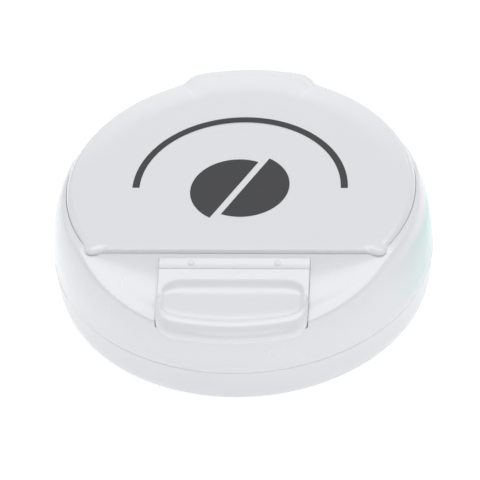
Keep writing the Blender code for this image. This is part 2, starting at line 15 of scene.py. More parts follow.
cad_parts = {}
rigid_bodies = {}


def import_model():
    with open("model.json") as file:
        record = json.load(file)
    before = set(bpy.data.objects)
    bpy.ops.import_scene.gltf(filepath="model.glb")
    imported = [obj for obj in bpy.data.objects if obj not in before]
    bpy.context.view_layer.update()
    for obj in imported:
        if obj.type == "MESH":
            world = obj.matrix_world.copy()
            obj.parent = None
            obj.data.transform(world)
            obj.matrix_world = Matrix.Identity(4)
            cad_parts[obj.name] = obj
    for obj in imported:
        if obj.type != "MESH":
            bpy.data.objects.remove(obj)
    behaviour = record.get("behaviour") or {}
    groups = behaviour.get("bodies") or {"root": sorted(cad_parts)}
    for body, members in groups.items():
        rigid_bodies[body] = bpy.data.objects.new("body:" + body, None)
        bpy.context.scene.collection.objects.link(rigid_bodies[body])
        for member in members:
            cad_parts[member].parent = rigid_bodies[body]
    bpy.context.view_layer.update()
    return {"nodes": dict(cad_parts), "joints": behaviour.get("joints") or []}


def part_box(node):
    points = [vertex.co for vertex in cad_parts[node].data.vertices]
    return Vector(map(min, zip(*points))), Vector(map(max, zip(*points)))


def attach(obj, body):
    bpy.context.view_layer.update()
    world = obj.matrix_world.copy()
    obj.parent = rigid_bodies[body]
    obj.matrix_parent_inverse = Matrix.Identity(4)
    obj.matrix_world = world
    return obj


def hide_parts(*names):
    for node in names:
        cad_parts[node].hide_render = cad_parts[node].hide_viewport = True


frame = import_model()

# %% [markdown]
# ## Sizes
# Moulded parts are drawn in millimetres, so the lesson works in millimetres and turns each finished
# mesh into metres once. The outer radii, the lid's straight front edge and the two hinge lines come
# from the working model. Its pieces stand 0.3 mm apart so that they turn freely; the moulded ones
# close most of that up to `fit`, which is nearer to the hairline joints of a real case.

# %% Sizes from the working model
MM = 0.001
joints = {joint["name"]: joint for joint in frame["joints"]}


def box(node):
    low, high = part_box(node)
    return low / MM, high / MM


lid_low, lid_high = box("lid_shell")
body_low, body_high = box("body_shell")
base_low, base_high = box("base_cup")
flap_low, flap_high = box("flap")
strip_low, strip_high = box("flap_hinge_strip")
deck_z = box("cutter_deck")[1].z

hinge = Vector(joints["lid_hinge"]["pos_m"]) / MM
flap_hinge = Vector(joints["flap_hinge"]["pos_m"]) / MM

lid_r = lid_high.x
lid_front = lid_low.y
bulge_r = lid_high.y
wall_r = body_high.x
seam_z = body_low.z
rim_z = body_high.z
gap = 0.3
fit = 0.03
print("lid radius", round(lid_r, 2), "front edge", round(lid_front, 2), "hinge", tuple(hinge))

# %% [markdown]
# ## Camera
# A long lens from far away keeps the round case from looking stretched. The camera stands a little
# to the right of the front, looks down at about 41 degrees, and is rolled slightly.

# %% Camera
CAMERA_AZIMUTH = math.radians(5.5)
CAMERA_ELEVATION = math.radians(41.1)
CAMERA_ROLL = math.radians(3.5)
CAMERA_DISTANCE = 0.61
CAMERA_LENS = 245.6

back = Vector(
    (
        math.sin(CAMERA_AZIMUTH) * math.cos(CAMERA_ELEVATION),
        -math.cos(CAMERA_AZIMUTH) * math.cos(CAMERA_ELEVATION),
        math.sin(CAMERA_ELEVATION),
    )
)
across = Vector((math.cos(CAMERA_AZIMUTH), math.sin(CAMERA_AZIMUTH), 0))
upward = back.cross(across)
aim = upward * 0.0066 - across * 0.0006
camera = bpy.data.objects.new("camera", bpy.data.cameras.new("camera"))
bpy.context.scene.collection.objects.link(camera)
camera.location = back * CAMERA_DISTANCE
look = (aim - camera.location).to_track_quat("-Z", "Y")
camera.rotation_mode = "QUATERNION"
camera.rotation_quaternion = look @ Matrix.Rotation(-CAMERA_ROLL, 4, "Z").to_quaternion()
camera.data.lens = CAMERA_LENS
camera.data.sensor_width = 36
camera.data.clip_start = 0.01
bpy.context.scene.camera = camera
print("camera at", tuple(round(c, 3) for c in camera.location))

# %% [markdown]
# ## Floor and light
# Small white products are lit so evenly that the table round them turns pure white. A pale floor
# that glows a little does the same as a light table. The front lamp lights the wall. The top lamp
# shines in the slope, and the rear lamp in the rounded rear edge. Two weak lamps fill the sides.

# %% Floor, world and lamps
bpy.context.scene.view_settings.view_transform = "Standard"

world = bpy.data.worlds.new("studio")
bpy.context.scene.world = world
world.use_nodes = True
world.node_tree.nodes["Background"].inputs["Color"].default_value = (0.96, 0.97, 1.0, 1)
world.node_tree.nodes["Background"].inputs["Strength"].default_value = 0.60

floor_bm = bmesh.new()
bmesh.ops.create_grid(floor_bm, x_segments=1, y_segments=1, size=3.0)
floor_mesh = bpy.data.meshes.new("floor")
floor_bm.to_mesh(floor_mesh)
floor_bm.free()
floor = bpy.data.objects.new("floor", floor_mesh)
bpy.context.scene.collection.objects.link(floor)

floor_paint = bpy.data.materials.new("floor_paint")
floor_paint.use_nodes = True
floor_shader = floor_paint.node_tree.nodes["Principled BSDF"]
floor_shader.inputs["Base Color"].default_value = (0.9, 0.9, 0.9, 1)
floor_shader.inputs["Roughness"].default_value = 1.0
floor_shader.inputs["Specular IOR Level"].default_value = 0.0
floor_shader.inputs["Emission Color"].default_value = (1, 1, 1, 1)
floor_shader.inputs["Emission Strength"].default_value = 0.37
floor_mesh.materials.append(floor_paint)


def lamp(name, place, width, height, watts):
    """A flat lamp at place, turned towards the case."""
    data = bpy.data.lights.new(name, "AREA")
    data.shape = "RECTANGLE"
    data.size = width
    data.size_y = height
    data.energy = watts
    made = bpy.data.objects.new(name, data)
    made.location = place
    made.rotation_mode = "QUATERNION"
    made.rotation_quaternion = (-Vector(place)).to_track_quat("-Z", "Y")
    bpy.context.scene.collection.objects.link(made)
    return made


lamp("front_lamp", (0.0, -0.85, 0.65), 0.8, 0.6, 1.7)
lamp("top_lamp", (0.0, 0.35, 0.86), 0.9, 0.34, 3.0)
lamp("rear_lamp", (0.0, 0.95, 0.42), 0.9, 0.4, 1.25)
lamp("left_lamp", (-0.8, 0.35, 0.5), 0.4, 0.6, 0.4)
lamp("right_lamp", (0.8, -0.1, 0.5), 0.4, 0.6, 0.55)
print("floor, world and five lamps")

# %% [markdown]
# ## Shader maths as Python
# A mask such as "how far up the wall is this point" is a sum or a product of numbers. `Value` wraps
# a socket, so that ordinary signs add the Math nodes, and `Finish` makes every other node.


# %% Sockets that take ordinary signs
class Value:
    """A number that changes over the surface."""

    def __init__(self, finish, socket):
        self.finish = finish
        self.socket = socket

    def sum(self, operation, a, b=0.0):
        return self.finish.node("ShaderNodeMath", {"operation": operation}, {0: a, 1: b})

    def __add__(self, other):
        return self.sum("ADD", self, other)

    __radd__ = __add__

    def __rsub__(self, other):
        return self.sum("SUBTRACT", other, self)

    def __mul__(self, other):
        return self.sum("MULTIPLY", self, other)

    __rmul__ = __mul__

    def rise(self, low, high):
        """0 below low, 1 above high and smooth between them."""
        settings = {"interpolation_type": "SMOOTHSTEP"}
        return self.finish.node(
            "ShaderNodeMapRange",
            settings,
            {"Value": self, "From Min": low, "From Max": high},
        )


# %% One finish is one material
class Finish:
    """A material, and one way to add a node to it."""

    def __init__(self, name, roughness, metallic=0.0, coat=0.0):
        self.material = bpy.data.materials.new(name)
        self.material.use_nodes = True
        self.tree = self.material.node_tree
        self.shader = self.tree.nodes["Principled BSDF"]
        self.shader.inputs["Roughness"].default_value = roughness
        self.shader.inputs["Metallic"].default_value = metallic
        self.shader.inputs["Coat Weight"].default_value = coat
        self.place = self.node("ShaderNodeTexCoord", {}, {}, "Object").socket

    def node(self, kind, settings, inputs, output=0):
        made = self.tree.nodes.new(kind)
        for key, value in settings.items():
            setattr(made, key, value)
        for key, value in inputs.items():
            self.put(made.inputs[key], value)
        return Value(self, made.outputs[output])

    def put(self, socket, value):
        """A link where the value changes over the surface, a plain setting where it doesn't."""
        if isinstance(value, Value):
            self.tree.links.new(value.socket, socket)
        elif isinstance(value, bpy.types.NodeSocket):
            self.tree.links.new(value, socket)
        else:
            socket.default_value = value

    def set(self, **values):
        for key, value in values.items():
            self.put(self.shader.inputs[key.replace("_", " ")], value)

    def noise(self, size, detail=2.0, stretch=(1, 1, 1)):
        """Soft noise from 0 to 1, whose blots are about size millimetres across."""
        place = self.node(
            "ShaderNodeMapping", {}, {"Vector": self.place, "Scale": stretch}
        ).socket
        inputs = {"Vector": place, "Scale": 1 / (size * MM), "Detail": detail}
        return self.node("ShaderNodeTexNoise", {}, inputs)

    def blend(self, factor, first, second):
        """A colour between first and second."""
        inputs = {0: factor, 6: first, 7: second}
        return self.node("ShaderNodeMix", {"data_type": "RGBA"}, inputs, 2)

    def bump(self, height, depth):
        """A surface normal from a height map, whose full height is depth millimetres."""
        inputs = {"Height": height, "Distance": depth * MM, "Strength": 1.0}
        return self.node("ShaderNodeBump", {}, inputs)

    def axes(self):
        split = self.node("ShaderNodeSeparateXYZ", {}, {"Vector": self.place}).socket.node
        return [Value(self, split.outputs[i]) for i in range(3)]


print("shader helpers ready")

# %% [markdown]
# ## White moulded plastic
# The case is glossy polypropylene or ABS. It isn't one flat white: the melt flows into the mould and
# leaves the tone a little cloudy, and the steel of the mould prints a very fine grain. Handling rubs
# faint streaks into the gloss. The cloud goes in the colour and the roughness, the streaks in the
# roughness alone, and the grain in the bump.


# %% White plastic
def white_plastic(name, tone=(0.715, 0.718, 0.724), roughness=0.24, grain=0.003):
    finish = Finish(name, roughness, coat=0.25)
    cloud = finish.noise(14.0, 3.0)
    streaks = finish.noise(1.2, 2.0, (1.0, 0.2, 1.0))
    mottle = finish.noise(0.6, 1.0)
    dull = (*[c * 0.985 for c in tone], 1.0)
    bright = (*[c * 1.01 for c in tone], 1.0)
    colour = finish.blend(cloud, dull, bright)
    finish.set(
        Base_Color=colour,
        Roughness=roughness + 0.03 * cloud + 0.02 * streaks,
        Normal=finish.bump(mottle, grain),
    )
    finish.shader.inputs["IOR"].default_value = 1.49
    finish.shader.inputs["Coat Roughness"].default_value = 0.12
    finish.colour = colour
    return finish


lid_plastic = white_plastic("lid_white")
base_plastic = white_plastic("base_white", (0.715, 0.718, 0.728), 0.3)
flap_plastic = white_plastic("flap_white", (0.72, 0.725, 0.73))
print("white plastics")

# %% [markdown]
# ## The body's painted teal light
# The body's wall is thin and lets a little light through, and the insert inside is pale teal. That
# light is painted into the wall's colour, as a faint teal tint on the right of the wall, above the
# seam. The mask is a band of heights times a stretch of the way round, so it stays put when the case
# is turned.


# %% Body plastic
def body_white():
    finish = white_plastic("body_white", (0.72, 0.725, 0.735))
    x, y, z = finish.axes()
    turn = x.sum("ARCTAN2", y, x)
    up = z.rise(seam_z * MM, (seam_z + 2.5) * MM) * (1 - z.rise(17.0 * MM, 19.0 * MM))
    round_right = turn.rise(-0.75, 0.05) * (1 - turn.rise(0.45, 0.9))
    # Painted light: the teal light through the wall is painted into the base colour on the right
    # side.
    painted_teal_light = finish.blend(up * round_right, finish.colour, (0.43, 0.61, 0.59, 1.0))
    finish.set(Base_Color=painted_teal_light)
    return finish


body_plastic = body_white()
print("body plastic")

# %% [markdown]
# ## Insert, rubber, steel and ink
# The insert is the same kind of plastic in pale teal with a satin surface. The grips are soft
# rubber, which scatters light from fine dust and tool marks. The blade is ground steel: its
# scratches all run one way, so the noise is stretched along them. The ink is a thin matt film.


# %% The other finishes
def satin_insert():
    finish = Finish("insert_teal", 0.4)
    cloud = finish.noise(9.0, 3.0)
    grain = finish.noise(0.15, 2.0)
    colour = finish.blend(cloud, (0.46, 0.68, 0.66, 1.0), (0.54, 0.76, 0.74, 1.0))
    finish.set(Base_Color=colour, Roughness=0.34 + 0.14 * cloud, Normal=finish.bump(grain, 0.012))
    return finish


def soft_rubber():
    finish = Finish("grip_rubber", 0.85)
    dust = finish.noise(2.2, 4.0)
    pores = finish.noise(0.12, 3.0)
    colour = finish.blend(dust.rise(0.3, 0.8), (0.11, 0.29, 0.29, 1.0), (0.19, 0.40, 0.39, 1.0))
    finish.set(Base_Color=colour, Roughness=0.7 + 0.2 * dust, Normal=finish.bump(pores, 0.03))
    return finish


def ground_steel():
    finish = Finish("ground_steel", 0.25, metallic=1.0)
    scratches = finish.noise(0.12, 3.0, (1.0, 1.0, 0.05))
    stain = finish.noise(6.0, 2.0)
    colour = finish.blend(stain, (0.42, 0.43, 0.45, 1.0), (0.58, 0.58, 0.60, 1.0))
    rough = 0.26 + 0.22 * scratches
    finish.set(Base_Color=colour, Roughness=rough, Normal=finish.bump(scratches, 0.006))
    return finish


def print_ink():
    finish = Finish("black_ink", 0.45)
    speckle = finish.noise(0.3, 3.0)
    colour = finish.blend(speckle, (0.006, 0.006, 0.007, 1.0), (0.016, 0.016, 0.018, 1.0))
    finish.set(Base_Color=colour, Roughness=0.38 + 0.15 * speckle)
    return finish


insert_teal = satin_insert()
rubber = soft_rubber()
steel = ground_steel()
ink = print_ink()
print("insert, rubber, steel and ink")

# %% [markdown]
# ## Turning a mesh into a piece
# Every piece ends the same way: it is scaled to metres, shaded smooth with its real corners kept
# sharp, given its finish, and set to ride on the body it belongs to.


# %% Finish a piece
def piece(name, bm, body, finish, replaced=(), sharp=40):
    bmesh.ops.scale(bm, vec=(MM, MM, MM), verts=bm.verts)
    mesh = bpy.data.meshes.new(name)
    bm.to_mesh(mesh)
    bm.free()
    mesh.materials.append(finish.material)
    mesh.shade_smooth()
    mesh.set_sharp_from_angle(angle=math.radians(sharp))
    made = bpy.data.objects.new(name, mesh)
    bpy.context.scene.collection.objects.link(made)
    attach(made, body)
    if replaced:
        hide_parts(*replaced)
    print(f"{name}: {len(mesh.polygons)} faces")
    return made


def smooth_max(a, b, blend):
    """The larger of a and b, with the crease between them rounded off over blend."""
    near = max(blend - abs(a - b), 0.0) / blend
    return max(a, b) + near * near * blend / 4


def smooth_min(a, b, blend):
    return -smooth_max(-a, -b, blend)


def ease(value, low, high):
    share = min(1.0, max(0.0, (value - low) / (high - low)))
    return share * share * (3 - 2 * share)


# %% [markdown]
# ## Outlines
# Seen from above, the lid is a circle cut off straight in front, with a bulge over the hinge. Each
# outline is a rule that says how far a point lies outside it, and corners are rounded by blending
# two rules. `reach` walks out from the middle until the rule says that the outline, or a line a set
# distance inside it, has been met.


# %% Outline rules
def d_rule(radius, front, rear=None, corner=2.0, middle=0.0):
    def outside(x, y):
        value = smooth_max(math.hypot(x, y - middle) - radius, front - y, corner)
        if rear is not None:
            value = smooth_max(value, y - rear, corner)
        return value

    return outside


LID_Y = 1.4
BULGE_HALF = 13.6
BULGE_SIDE_Y = 30.0
BULGE_TAPER = math.radians(23)
TIP = Vector((25.7, lid_front + 0.75))
TIP_R = 1.3
plain_lid = d_rule(lid_r, lid_front, middle=LID_Y)


def lid_rule(x, y):
    """The D, with a rounded tip at each front corner and the bulge over the hinge behind."""
    if y < 0:
        tip = math.hypot(abs(x) - TIP.x, y - TIP.y) - TIP_R
        return smooth_min(plain_lid(x, y), tip, 1.2)
    side = (abs(x) - BULGE_HALF) * math.cos(BULGE_TAPER)
    side += (y - BULGE_SIDE_Y) * math.sin(BULGE_TAPER)
    bulge = smooth_max(math.hypot(x, y) - bulge_r, side, 1.5)
    return smooth_min(plain_lid(x, y), bulge, 0.8)


def reach(rule, turn, inside=0.0):
    """Distance from the middle, in direction turn, to the line that runs inside the outline."""
    cos, sin = math.cos(turn), math.sin(turn)
    near, far = 0.0, 45.0
    for _ in range(34):
        middle = (near + far) / 2
        if rule(middle * cos, middle * sin) > -inside:
            far = middle
        else:
            near = middle
    return near


print("lid reaches", round(reach(lid_rule, math.pi / 2), 2), "mm at the hinge")

# %% [markdown]
# ## Stacks of rings
# A moulded shell that isn't quite round can still be made like a turned one: start with a ring of
# points, extrude it, and lay each new ring where the section says. The points are spaced closer
# where the outline turns sharply, at the lid's two front corners and at the sides of the bulge.


# %% Rings
def turns(fine_places):
    """Directions round the middle, 1.5 degrees apart, and five times closer near fine_places."""
    found = []
    turn = -180.0
    while turn < 180.0 - 1e-6:
        found.append(math.radians(turn))
        close = any(abs(turn - place) < 6.0 for place in fine_places)
        turn += 0.3 if close else 1.5
    return found


ALL_TURNS = turns((-34, -146, 69, 111))


def ring_stack(rings, closed):
    """A skin through rings, each a rule from a direction to a point. closed joins last to first."""
    bm = bmesh.new()
    layer = bm.verts.layers.float.new("turn")
    made = bmesh.ops.create_circle(bm, segments=len(ALL_TURNS), radius=1)["verts"]
    made.sort(key=lambda v: math.atan2(v.co.y, v.co.x))
    for v, turn in zip(made, ALL_TURNS):
        v[layer] = turn
        v.co = rings[0](turn)
    first = bm.edges[:]
    loop = first
    for ring in rings[1:]:
        grown = bmesh.ops.extrude_edge_only(bm, edges=loop)["geom"]
        loop = [g for g in grown if isinstance(g, bmesh.types.BMEdge)]
        for v in [g for g in grown if isinstance(g, bmesh.types.BMVert)]:
            v.co = ring(v[layer])
    if closed:
        bmesh.ops.bridge_loops(bm, edges=first + loop)
    else:
        for edge_loop in (first, loop):
            cap = bmesh.ops.edgenet_fill(bm, edges=edge_loop)["faces"]
            bmesh.ops.poke(bm, faces=cap)
    bmesh.ops.recalc_face_normals(bm, faces=bm.faces)
    return bm


def polar(distance, turn, z):
    return Vector((distance * math.cos(turn), distance * math.sin(turn), z))


print(len(ALL_TURNS), "directions")

# %% [markdown]
# ## The lid
# The lid is a thin shell. Its top falls very gently from the hinge to the straight edge. Towards the
# rear it also sinks across a broad band before its edge rounds over, and at the back the skin runs on
# over the hinge as a hood. Underneath, a skirt drops into the opening of the body. Two rings meet at
# the skirt's root except under the hood, so their shared points are merged at the end.

# %% Lid sizes
LID_TOP_REAR = 22.85
LID_TOP_FRONT = 20.9
LID_EDGE_Z = 20.2
EDGE_DROP = 0.1
LID_UNDER_Z = 19.0
SIDE_ROUNDING = 1.5
REAR_ROUNDING = 1.4
HOOD_ROUNDING = 3.2
BAND = 5.5
BAND_DROP = 0.55
FRONT_ROUNDING = 0.35
SKIRT_IN = 2.1
SKIRT_THICK = 1.4
SKIRT_Z = 16.6
SKIRT_REAR = 25.5
CEILING_Z = 19.6
BULGE_TOP_Z = 22.45
HOOD_EDGE_Z = 19.4
HOOD_INNER_R = 2.6
HOOD_LIP = 1.2


def lid_plane(y):
    share = (y - lid_front) / (LID_Y + lid_r - lid_front)
    return LID_TOP_FRONT + (LID_TOP_REAR - LID_TOP_FRONT) * share


def lid_top(y):
    """Height of the lid before its edge is rounded: a plane that levels out over the hinge."""
    return smooth_min(lid_plane(y), BULGE_TOP_Z, 0.8)


# %% How the lid's edge changes on the way round
def rounding(turn):
    """Width of the rounded edge: hardly any along the straight front, most over the hinge."""
    y = reach(lid_rule, turn) * math.sin(turn)
    width = SIDE_ROUNDING + (REAR_ROUNDING - SIDE_ROUNDING) * ease(y, -8.0, 24.0)
    width += (HOOD_ROUNDING - width) * hood_share(turn)
    front = ease(-y, -lid_front - 1.4, -lid_front - 0.2)
    inner = 1 - ease(abs(math.cos(turn)) * reach(lid_rule, turn), TIP.x - 2.2, TIP.x - 0.4)
    return width + (FRONT_ROUNDING - width) * front * inner


def hood_share(turn):
    """0 round the plain edge of the lid and 1 over the hinge."""
    if turn < 0:
        return 0.0
    return ease(reach(lid_rule, turn) - reach(plain_lid, turn), 0.1, 1.8)


def lid_edge_z(turn):
    """Height at which the rounding ends and the lid's side begins."""
    y = reach(lid_rule, turn) * math.sin(turn)
    plain = LID_EDGE_Z - EDGE_DROP * ease(y, 0.0, 18.0)
    share = hood_share(turn)
    return plain * (1 - share) + HOOD_EDGE_Z * share


def band_drop(turn, step):
    """How far the lid's top has fallen across the broad band inside its rounded edge."""
    y = reach(lid_rule, turn) * math.sin(turn)
    return BAND_DROP * ease(y, -6.0, 20.0) * step**1.5


# %% Lid rings
def band_start(turn):
    return reach(plain_lid, turn, SIDE_ROUNDING + BAND)


def top_ring(scale):
    def at(turn):
        point = polar(scale * band_start(turn), turn, 0)
        point.z = lid_top(point.y)
        return point

    return at


def band_ring(step):
    """step goes from 0 on the lid's plane to 1, where the rounding starts."""

    def at(turn):
        start = band_start(turn)
        end = reach(lid_rule, turn, rounding(turn))
        point = polar(start + (end - start) * step, turn, 0)
        point.z = lid_top(point.y) - band_drop(turn, step)
        return point

    return at


def edge_ring(step):
    """step goes from 0, where the rounding starts, to 1 on the outline."""

    def at(turn):
        inside = rounding(turn) * (1 - math.sin(step * math.pi / 2))
        point = polar(reach(lid_rule, turn, inside), turn, 0)
        low = lid_edge_z(turn)
        top = lid_top(point.y) - band_drop(turn, 1.0)
        point.z = low + (top - low) * math.cos(step * math.pi / 2)
        return point

    return at


def side_ring(down):
    """Down the lid's side: the tips stay on top, and the hood goes on down to the hinge line."""

    def at(turn):
        share = hood_share(turn)
        plain = reach(plain_lid, turn)
        distance = plain + (reach(lid_rule, turn) - plain) * share
        low = LID_UNDER_Z + (hinge.z - LID_UNDER_Z) * share
        return polar(distance, turn, lid_edge_z(turn) * (1 - down) + low * down)

    return at


def under_ring(step):
    """The underside, from the side at step 0 to the root of the skirt at step 1."""

    def at(turn):
        share = hood_share(turn)
        plain = polar(reach(plain_lid, turn, SKIRT_IN * step), turn, LID_UNDER_Z)
        if share == 0:
            return plain
        arc = min(1.0, step / 0.7) * math.pi / 2
        past = max(0.0, step - 0.7) / 0.3
        depth = hinge.y + HOOD_INNER_R * math.cos(arc) - 5.0 * past
        lip = HOOD_LIP * min(1.0, 8 * step)
        out = min(depth / math.sin(turn), reach(lid_rule, turn) - lip)
        z = hinge.z + HOOD_INNER_R * math.sin(arc) - 0.9 * past
        return plain.lerp(polar(out, turn, z), share)

    return at


def skirt_ring(inside, rear, z):
    def at(turn):
        point = polar(reach(plain_lid, turn, inside), turn, z)
        point.y = min(point.y, rear)
        return point

    return at


# %% Lid shell
lid_rings = [top_ring(share) for share in (0.02, 0.2, 0.4, 0.6, 0.8)]
lid_rings += [band_ring(step / 6) for step in range(6)]
lid_rings += [edge_ring(step / 12) for step in range(13)]
lid_rings += [side_ring(down) for down in (0.02, 0.5, 1.0)]
lid_rings += [under_ring(step / 12) for step in range(1, 13)]
inner_rear = SKIRT_REAR - SKIRT_THICK
lid_rings += [
    skirt_ring(SKIRT_IN, SKIRT_REAR, LID_UNDER_Z),
    skirt_ring(SKIRT_IN, SKIRT_REAR, SKIRT_Z + 0.3),
    skirt_ring(SKIRT_IN + 0.3, SKIRT_REAR - 0.3, SKIRT_Z),
    skirt_ring(SKIRT_IN + SKIRT_THICK - 0.3, inner_rear + 0.3, SKIRT_Z),
    skirt_ring(SKIRT_IN + SKIRT_THICK, inner_rear, SKIRT_Z + 0.3),
    skirt_ring(SKIRT_IN + SKIRT_THICK, inner_rear, CEILING_Z),
    skirt_ring(SKIRT_IN + 14.0, 12.0, CEILING_Z),
]
lid_bm = ring_stack(lid_rings, closed=False)
bmesh.ops.remove_doubles(lid_bm, verts=lid_bm.verts, dist=0.0005)
piece("lid_moulding", lid_bm, "lid", lid_plastic, ["lid_shell"])

# %% [markdown]
# ## Hinge
# Under the hood, three knuckles of the lid turn on a steel pin, and two ears of the body stand
# between them. A knuckle is a short tube with softened rims. A tube is quickest as a ring of the
# cross-section, spun once round the pin.


# %% Knuckles and ears
def tube(inner, outer, left, right, soften=0.25):
    """A short tube along X on the hinge line, with its outer rims softened."""
    section = [
        (left, inner),
        (left, outer - soften),
        (left + soften, outer),
        (right - soften, outer),
        (right, outer - soften),
        (right, inner),
    ]
    bm = bmesh.new()
    points = [bm.verts.new((x, hinge.y + r, hinge.z)) for x, r in section]
    edges = [bm.edges.new((points[i - 1], points[i])) for i in range(len(points))]
    bmesh.ops.spin(
        bm,
        geom=points + edges,
        cent=hinge,
        axis=(1, 0, 0),
        angle=2 * math.pi,
        steps=48,
        use_merge=True,
    )
    bmesh.ops.remove_doubles(bm, verts=bm.verts, dist=0.001)
    bmesh.ops.recalc_face_normals(bm, faces=bm.faces)
    return bm


KNUCKLE_R = 3.0
KNUCKLE_END = 10.8
EAR_R = 1.9
EAR_IN = 6.4
EAR_OUT = 9.2
EAR_GAP = 0.4
BORE_R = 1.1
knuckles = {
    "knuckle_left": (-KNUCKLE_END, -EAR_OUT - EAR_GAP),
    "knuckle_middle": (-EAR_IN + EAR_GAP, EAR_IN - EAR_GAP),
    "knuckle_right": (EAR_OUT + EAR_GAP, KNUCKLE_END),
}
for name, (left, right) in knuckles.items():
    knuckle = tube(BORE_R, KNUCKLE_R, left, right)
    piece(name, knuckle, "lid", lid_plastic)
for name, left, right in (("left", -EAR_OUT, -EAR_IN), ("right", EAR_IN, EAR_OUT)):
    ear = tube(BORE_R, EAR_R, left, right)
    piece(f"ear_{name}", ear, "root", body_plastic)

# %% [markdown]
# ## The body
# The body is a ring of wall that rounds over at the top. In front it is sliced by a plane that
# slopes down to the flap, and the slice meets the wall in a softened crease. The same stack of rings
# does the wall, the slope, the ledge that the lid rests on, and the well behind it.

# %% Body sizes
SHOULDER_R = 34.8
SHOULDER_Z = 9.1
RIM_R = 31.9
SLOPE_TOP_Z = 20.1
SLOPE = math.radians(14.7)
LAND_Z = 18.85
RIM_FADE = (0.0, 14.0)
OPENING = d_rule(30.2, -16.0, 25.9, 0.8)
CHAMBER = d_rule(32.0, -16.2, 26.2, 0.8)
REBATE = d_rule(lid_r + fit, lid_front - fit, middle=LID_Y)
CHORD_Y = -17.4
PARTITION = d_rule(33.0, CHORD_Y - 0.2)
WELL_Z = deck_z + gap
ROOF = 2.3
LEAN_TOP = math.radians(78)


def slope_z(y):
    return SLOPE_TOP_Z + (y - CHORD_Y) * math.tan(SLOPE)


def lean_end(turn):
    """How far round its curve the shoulder goes: to the rim, or at the rear only to the ledge."""
    y = reach(REBATE, turn) * math.sin(turn)
    rim = rim_z - (rim_z - LAND_Z) * ease(y, *RIM_FADE)
    share = min(1.0, (rim - SHOULDER_Z) / (rim_z - SHOULDER_Z))
    return min(LEAN_TOP, math.asin(share))


def shoulder_point(step, turn):
    """A point on the rounded shoulder, from the wall at 0 to the rim at 1."""
    lean = lean_end(turn) * step
    radius = RIM_R + (SHOULDER_R - RIM_R) * math.cos(lean)
    point = polar(radius, turn, 0)
    height = SHOULDER_Z + (rim_z - SHOULDER_Z) * math.sin(lean)
    point.z = smooth_min(height, slope_z(point.y), 0.6) if point.y < 0 else height
    return point


def ledge_edge(turn):
    """Distance out to the step down to the ledge for the lid."""
    return min(reach(REBATE, turn), shoulder_point(1.0, turn).xy.length - 0.1)


# %% Body rings
def wall_ring(radius, z):
    return lambda turn: polar(radius, turn, z)


def shoulder_ring(step):
    return lambda turn: shoulder_point(step, turn)


def rim_height(turn, y):
    """Height of the rim's flat top, or of the slope in front."""
    top = max(LAND_Z, shoulder_point(1.0, turn).z)
    top += (rim_z - top) * (1 - ease(y, *RIM_FADE))
    return min(top, slope_z(y)) if y < CHORD_Y + 2 else top


def facet_ring(share):
    """Across the slope, from the rounded shoulder at 0 to the ledge for the lid at 1."""

    def at(turn):
        start = shoulder_point(1.0, turn)
        end = ledge_edge(turn) + 0.08
        point = polar(start.xy.length * (1 - share) + end * share, turn, 0)
        top = start.z * (1 - share) + rim_height(turn, point.y) * share
        point.z = min(top, slope_z(point.y)) if point.y < CHORD_Y + 2 else top
        return point

    return at


def rebate_ring(out, drop):
    def at(turn):
        point = polar(ledge_edge(turn) + out, turn, 0)
        point.z = max(LAND_Z, rim_height(turn, point.y) - drop)
        return point

    return at


def rule_ring(rule, z):
    return lambda turn: polar(reach(rule, turn), turn, z)


def hollow_share(turn):
    """1 in front of the partition, where there is room under the slope, and 0 elsewhere."""
    return ease(33.0 - reach(PARTITION, turn), 0.3, 3.0)


def hollow_ring(share):
    """Under the slope: from the partition at 0 out to the wall at 1."""

    def at(turn):
        near = reach(PARTITION, turn)
        point = polar(near * (1 - share) + 32.6 * share, turn, 0)
        roof = slope_z(point.y) - ROOF
        room = hollow_share(turn)
        point.z = WELL_Z - 0.4 * share + (roof - WELL_Z + 0.4 * share) * room
        return point

    return at


# %% Body shell
seam = seam_z - 0.2
body_rings = [wall_ring(wall_r - 0.3, seam), wall_ring(wall_r - 0.08, seam + 0.1)]
body_rings += [wall_ring(wall_r, seam + 0.35)]
body_rings += [shoulder_ring(step / 30) for step in range(31)]
body_rings += [facet_ring(step / 8) for step in range(1, 9)]
body_rings += [
    rebate_ring(0.03, 0.05),
    rebate_ring(0.0, 0.15),
    lambda turn: polar(ledge_edge(turn), turn, LAND_Z),
    rule_ring(OPENING, LAND_Z),
    rule_ring(OPENING, LAND_Z - 1.2),
    rule_ring(CHAMBER, LAND_Z - 1.4),
    rule_ring(CHAMBER, WELL_Z),
]
body_rings += [hollow_ring(step / 6) for step in range(7)]
body_rings += [wall_ring(33.1, seam_z + 1.4), wall_ring(33.3, seam)]
body_bm = ring_stack(body_rings, closed=True)
body = piece("body_moulding", body_bm, "root", body_plastic, ["body_shell"])

# %% [markdown]
# ## Pocket, port and hinge notch
# Three shapes are sunk into the body: the shallow pocket that the flap lies in, the port in its
# floor, and the notch for the hinge. The notch has room for the lid's knuckles, and more behind them
# for the bulge as the lid opens. The shapes cross the rings at an angle, so they are cut with plain
# cutters and the Boolean modifier, and the cutters are thrown away afterwards.


# %% Cut the body
def cutter(bm):
    bmesh.ops.scale(bm, vec=(MM, MM, MM), verts=bm.verts)
    mesh = bpy.data.meshes.new("cutter")
    bm.to_mesh(mesh)
    bm.free()
    made = bpy.data.objects.new("cutter", mesh)
    bpy.context.scene.collection.objects.link(made)
    return made


